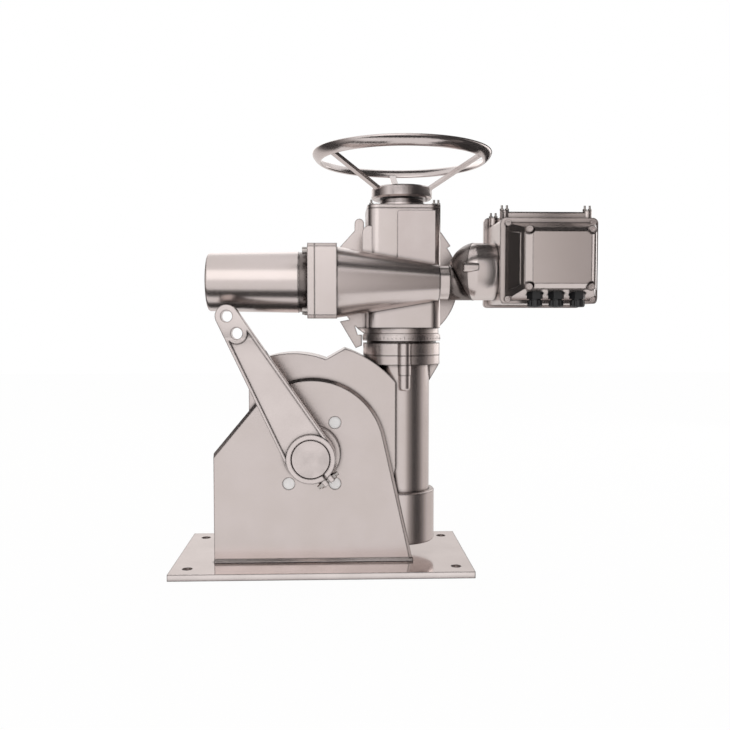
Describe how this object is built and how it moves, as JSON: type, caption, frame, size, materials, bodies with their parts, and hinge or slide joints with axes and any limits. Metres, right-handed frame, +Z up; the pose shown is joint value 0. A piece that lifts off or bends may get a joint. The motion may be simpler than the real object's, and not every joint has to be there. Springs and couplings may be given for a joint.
{
  "type": "quarter-turn electric actuator",
  "caption": "Electric quarter-turn drive on a foot bracket: motor, worm gearbox, handwheel, control box and a lever that swings a linkage through ninety degrees",
  "frame": {"origin": "centre of the foot's four-hole bolt pattern, on the underside of the foot", "axes": "X along the motor, from the motor to the control box; Y to the back, away from the lever; Z up, along the handwheel's axis"},
  "size_m": [0.77, 0.3893, 0.7822],
  "materials": {
    "grey_paint": "satin",
    "wheel_paint": "satin",
    "bright_steel": "satin",
    "bronze": "satin",
    "bare_plate": "satin",
    "white_plastic": "gloss",
    "black_plastic": "matte",
    "board": "matte",
    "black_rubber": "matte"
  },
  "bodies": {
    "stand": {"foot_plate": "grey_paint", "stand_front_plate": "grey_paint", "stand_rear_plate": "grey_paint", "gear_case": "grey_paint", "case_cover": "grey_paint", "worm_tube_cap": "grey_paint", "adapter_flange": "grey_paint", "spacer_ring": "grey_paint", "main_housing": "grey_paint", "drum_cover": "grey_paint", "top_cover": "grey_paint", "hand_shaft_cap": "grey_paint", "motor_can": "grey_paint", "motor_flange": "grey_paint", "drive_housing": "grey_paint", "control_tube": "grey_paint", "control_body": "grey_paint", "control_top_cover": "grey_paint", "control_hood": "grey_paint", "control_front_cover": "grey_paint", "control_rear_plate": "grey_paint", "adapter_studs": "grey_paint", "case_cover_screws": "bright_steel", "stand_bolts": "bright_steel", "worm_bearings": "bright_steel", "index_ring": "bright_steel", "drum_cover_screws": "bright_steel", "cover_studs": "bright_steel", "sleeve_bearings": "bright_steel", "motor_screws": "bright_steel", "motor_stator": "bright_steel", "rotor_bearings": "bright_steel", "tube_lock_pin": "bright_steel", "control_screws": "bright_steel", "board_stand_offs": "bright_steel", "shaft_bushes": "bronze", "name_plate": "bare_plate", "hole_plugs": "white_plastic", "gland_bodies": "black_plastic", "gland_nuts": "black_plastic", "terminal_strip": "black_plastic", "circuit_board": "board", "case_gasket": "black_rubber", "shaft_seal": "black_rubber"},
    "output": {"output_shaft": "bright_steel", "shaft_keys": "bright_steel", "worm_sector": "bronze", "output_lever": "grey_paint", "lever_clamp_bolt": "bright_steel", "lever_clamp_nut": "bright_steel"},
    "worm": {"worm_shaft": "bright_steel", "drive_sleeve": "bright_steel", "drive_wheel": "bronze"},
    "rotor": {"motor_rotor": "bright_steel", "drive_worm": "bright_steel"},
    "handwheel": {"handwheel_shaft": "bright_steel", "handwheel_rim": "wheel_paint", "handwheel_spokes": "wheel_paint", "handwheel_hub": "wheel_paint", "handwheel_nut": "bright_steel"}
  },
  "joints": [
    {"name": "rotor_turn", "type": "hinge", "parent": "stand", "child": "rotor", "pos_m": [0, -0.08, 0.532], "axis": [1, 0, 0], "range_deg": [0, 110852]},
    {"name": "worm_turn", "type": "hinge", "parent": "stand", "child": "worm", "pos_m": [0.152, 0, 0.532], "axis": [0, 0, -1], "range_deg": [0, 3960]},
    {"name": "handwheel_turn", "type": "hinge", "parent": "stand", "child": "handwheel", "pos_m": [0.152, 0, 0.7], "axis": [0, 0, -1], "range_deg": [0, 3960]},
    {"name": "output_turn", "type": "hinge", "parent": "stand", "child": "output", "pos_m": [-0.02, 0, 0.216], "axis": [0, -1, 0], "range_deg": [0, 90]}
  ],
  "couplings": [
    {"joint": "worm_turn", "follows": "rotor_turn", "ratio": 0.035714},
    {"joint": "handwheel_turn", "follows": "rotor_turn", "ratio": 0.035714},
    {"joint": "output_turn", "follows": "rotor_turn", "ratio": 0.00081169}
  ]
}
